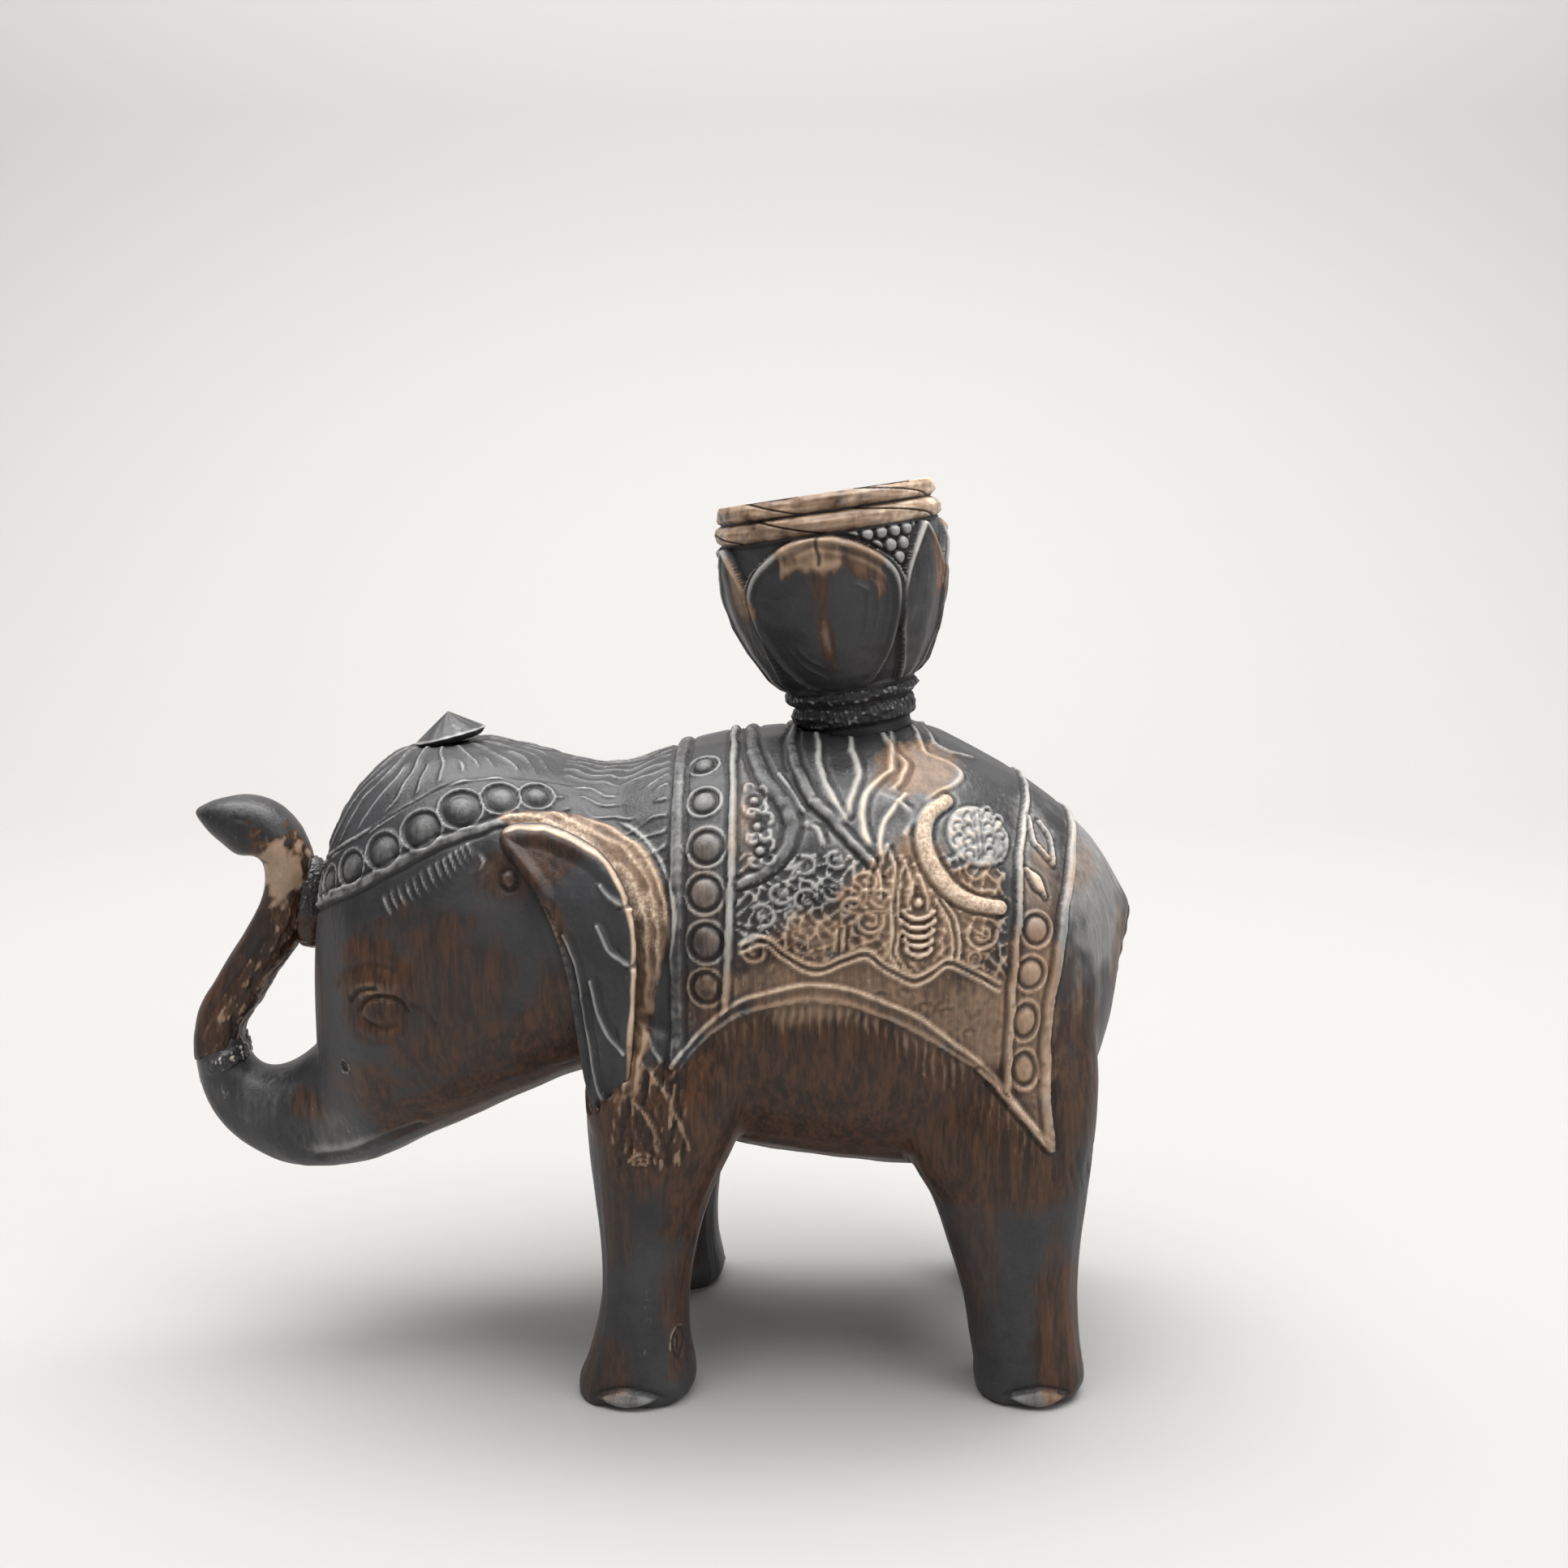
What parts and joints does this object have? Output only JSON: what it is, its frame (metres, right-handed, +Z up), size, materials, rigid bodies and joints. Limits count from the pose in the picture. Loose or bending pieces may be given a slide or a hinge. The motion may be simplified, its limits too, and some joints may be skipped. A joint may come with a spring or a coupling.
{
  "type": "elephant candle holder",
  "caption": "Carved wooden elephant with its trunk raised to its forehead, a patterned saddle cloth and a leaning lotus cup on its back for a small candle.",
  "frame": {"origin": "middle of the object's footprint box, on the plane its four soles stand on", "axes": "+Z up, the head faces -X, the elephant's left side faces -Y"},
  "size_m": [0.2045, 0.084, 0.1883],
  "materials": {
    "body_wood": "worn dark patina over brown wood, low gloss",
    "ear_wood": "worn dark patina with a bare brown rim",
    "trunk_wood": "worn dark patina over brown wood",
    "cup_wood": "worn dark patina, rope rings worn to light brown",
    "cap_wood": "grey worn patina",
    "tail_wood": "worn dark patina over brown wood",
    "peg_wood": "bare wood",
    "resin": "dark lumpy glue"
  },
  "bodies": {
    "root": {"body_block": "body_wood", "ear_left": "ear_wood", "ear_right": "ear_wood", "ear_pegs": "peg_wood", "trunk": "trunk_wood", "trunk_glue": "resin", "forehead_glue": "resin", "trunk_dowel": "peg_wood", "lotus_cup": "cup_wood", "cup_dowel": "peg_wood", "crown_finial": "cap_wood", "tail": "tail_wood"}
  },
  "joints": []
}
